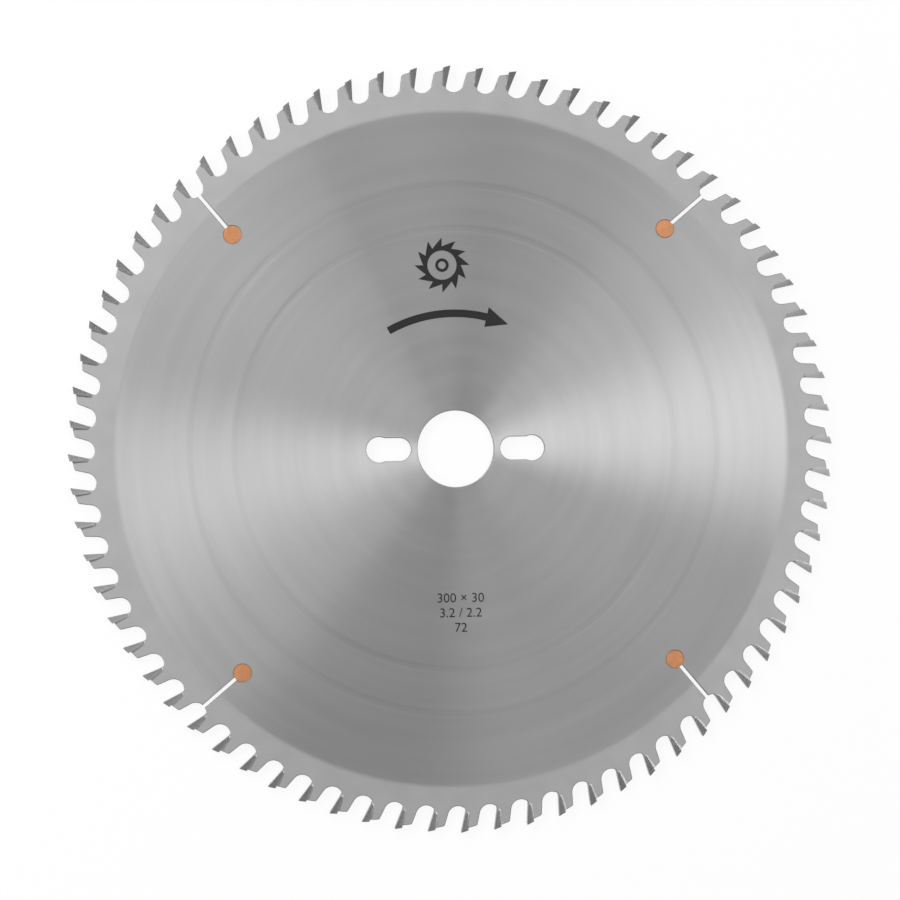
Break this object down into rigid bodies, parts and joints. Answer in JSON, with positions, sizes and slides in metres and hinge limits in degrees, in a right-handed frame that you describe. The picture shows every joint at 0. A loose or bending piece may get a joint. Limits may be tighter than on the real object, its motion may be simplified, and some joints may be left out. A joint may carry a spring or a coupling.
{
  "type": "tct circular saw blade",
  "caption": "Carbide-tipped circular saw blade: flat ground steel disc with hooked, brazed teeth in alternating bevels, copper-plugged expansion slots, an arbor bore and drive-pin slots.",
  "frame": {"origin": "centre of the arbor bore at the mid-plane of the steel plate", "axes": "+Z along the bore axis, out of the printed face, +X through the middle of the pin slots; seen from +Z the blade turns clockwise"},
  "size_m": [0.3, 0.3, 0.0032],
  "materials": {
    "plate_steel": "satin",
    "carbide": "satin",
    "copper": "satin"
  },
  "bodies": {
    "root": {"blade_body": "plate_steel", "tip_pair_01": "carbide", "tip_pair_02": "carbide", "tip_pair_03": "carbide", "tip_pair_04": "carbide", "tip_pair_05": "carbide", "tip_pair_06": "carbide", "tip_pair_07": "carbide", "tip_pair_08": "carbide", "tip_pair_09": "carbide", "tip_pair_10": "carbide", "tip_pair_11": "carbide", "tip_pair_12": "carbide", "tip_pair_13": "carbide", "tip_pair_14": "carbide", "tip_pair_15": "carbide", "tip_pair_16": "carbide", "tip_pair_17": "carbide", "tip_pair_18": "carbide", "tip_pair_19": "carbide", "tip_pair_20": "carbide", "tip_pair_21": "carbide", "tip_pair_22": "carbide", "tip_pair_23": "carbide", "tip_pair_24": "carbide", "tip_pair_25": "carbide", "tip_pair_26": "carbide", "tip_pair_27": "carbide", "tip_pair_28": "carbide", "tip_pair_29": "carbide", "tip_pair_30": "carbide", "tip_pair_31": "carbide", "tip_pair_32": "carbide", "tip_pair_33": "carbide", "tip_pair_34": "carbide", "tip_pair_35": "carbide", "tip_pair_36": "carbide", "copper_plug_1": "copper", "copper_plug_2": "copper", "copper_plug_3": "copper", "copper_plug_4": "copper"}
  },
  "joints": []
}
